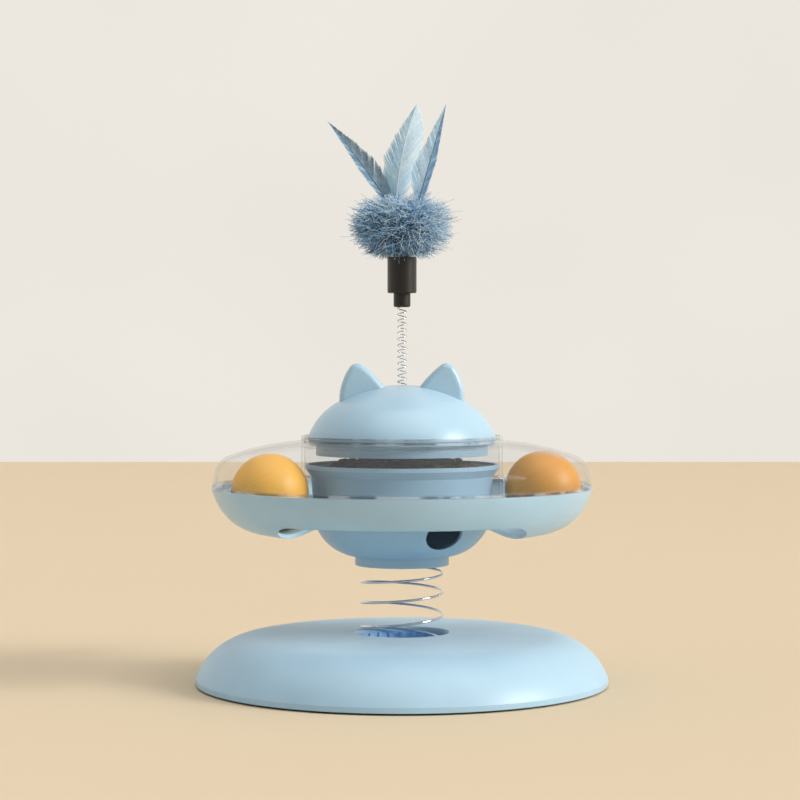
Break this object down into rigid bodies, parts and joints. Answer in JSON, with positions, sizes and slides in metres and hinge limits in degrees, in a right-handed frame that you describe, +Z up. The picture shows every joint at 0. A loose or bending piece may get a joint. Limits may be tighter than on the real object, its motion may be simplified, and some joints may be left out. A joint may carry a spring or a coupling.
{
  "type": "cat teaser toy",
  "caption": "Cat toy with a weighted base, a big spring, a ball track round a treat bowl, a domed lid with cat ears and a feather teaser on a thin spring.",
  "frame": {"origin": "centre of the footprint, on the surface that the anti-slip pads stand on", "axes": "+Z up; -Y towards the front, where the dispensing hole opens; +X to the viewer's right"},
  "size_m": [0.206, 0.206, 0.2893],
  "materials": {
    "powder_blue": "satin",
    "deep_blue": "matte",
    "clear": "polished",
    "orange_ball": "gloss",
    "spring_steel": "polished",
    "plain_steel": "brushed",
    "pad_rubber": "matte",
    "dark_cap": "satin",
    "blue_fluff": "soft",
    "grey_blue_feather": "soft",
    "mid_blue_feather": "soft"
  },
  "bodies": {
    "base": {"base_shell": "powder_blue", "spring_socket": "deep_blue", "socket_screws": "plain_steel", "base_plate": "deep_blue", "base_screws": "plain_steel", "base_weight": "plain_steel", "base_pads": "pad_rubber"},
    "spring": {"main_spring": "spring_steel"},
    "clips": {"spring_clips": "plain_steel"},
    "saucer": {"spring_collar": "powder_blue", "collar_screws": "plain_steel", "treat_bowl": "powder_blue", "ball_tray": "powder_blue", "tray_screws": "plain_steel"},
    "left_ball": {"ball_left": "orange_ball"},
    "right_ball": {"ball_right": "orange_ball"},
    "cover": {"clear_cover": "clear"},
    "lid": {"dome_lid": "powder_blue", "lid_skirt": "powder_blue", "wand_anchor": "deep_blue", "anchor_screws": "plain_steel"},
    "wand": {"wand_spring": "spring_steel"},
    "teaser": {"wand_plug": "dark_cap", "teaser_cap": "dark_cap", "fluff_pom": "blue_fluff", "feather_left": "grey_blue_feather", "feather_middle": "mid_blue_feather", "feather_right": "mid_blue_feather"}
  },
  "joints": [
    {"name": "saucer_bounce", "type": "slide", "parent": "base", "child": "spring", "axis": [0, 0, 1], "range_m": [-0.006, 0.004], "stiffness_N_per_m": 800, "springref_m": 0.00338, "deforming": ["main_spring"]},
    {"name": "saucer_pitch", "type": "hinge", "parent": "spring", "child": "clips", "pos_m": [0, 0, 0.0375], "axis": [1, 0, 0], "range_deg": [-15, 15], "stiffness_Nm_per_rad": 1.6},
    {"name": "saucer_roll", "type": "hinge", "parent": "clips", "child": "saucer", "pos_m": [0, 0, 0.0525], "axis": [0, 1, 0], "range_deg": [-15, 15], "stiffness_Nm_per_rad": 1.6},
    {"name": "left_ball_orbit", "type": "hinge", "parent": "saucer", "child": "left_ball", "pos_m": [0, 0, 0.0975], "axis": [0, 0, 1], "continuous": true},
    {"name": "right_ball_orbit", "type": "hinge", "parent": "saucer", "child": "right_ball", "pos_m": [0, 0, 0.0975], "axis": [0, 0, 1], "continuous": true},
    {"name": "cover_lift", "type": "slide", "parent": "saucer", "child": "cover", "axis": [0, 0, 1], "range_m": [0, 0.06]},
    {"name": "lid_lift", "type": "slide", "parent": "cover", "child": "lid", "axis": [0, 0, 1], "range_m": [0, 0.03]},
    {"name": "teaser_pitch", "type": "hinge", "parent": "lid", "child": "wand", "pos_m": [0, 0, 0.159], "axis": [1, 0, 0], "range_deg": [-40, 40], "stiffness_Nm_per_rad": 0.25, "deforming": ["wand_spring"]},
    {"name": "teaser_roll", "type": "hinge", "parent": "wand", "child": "teaser", "pos_m": [0, 0, 0.18], "axis": [0, 1, 0], "range_deg": [-40, 40], "stiffness_Nm_per_rad": 0.25}
  ],
  "couplings": [
    {"joint": "left_ball_orbit", "follows": "right_ball_orbit", "ratio": 1}
  ]
}
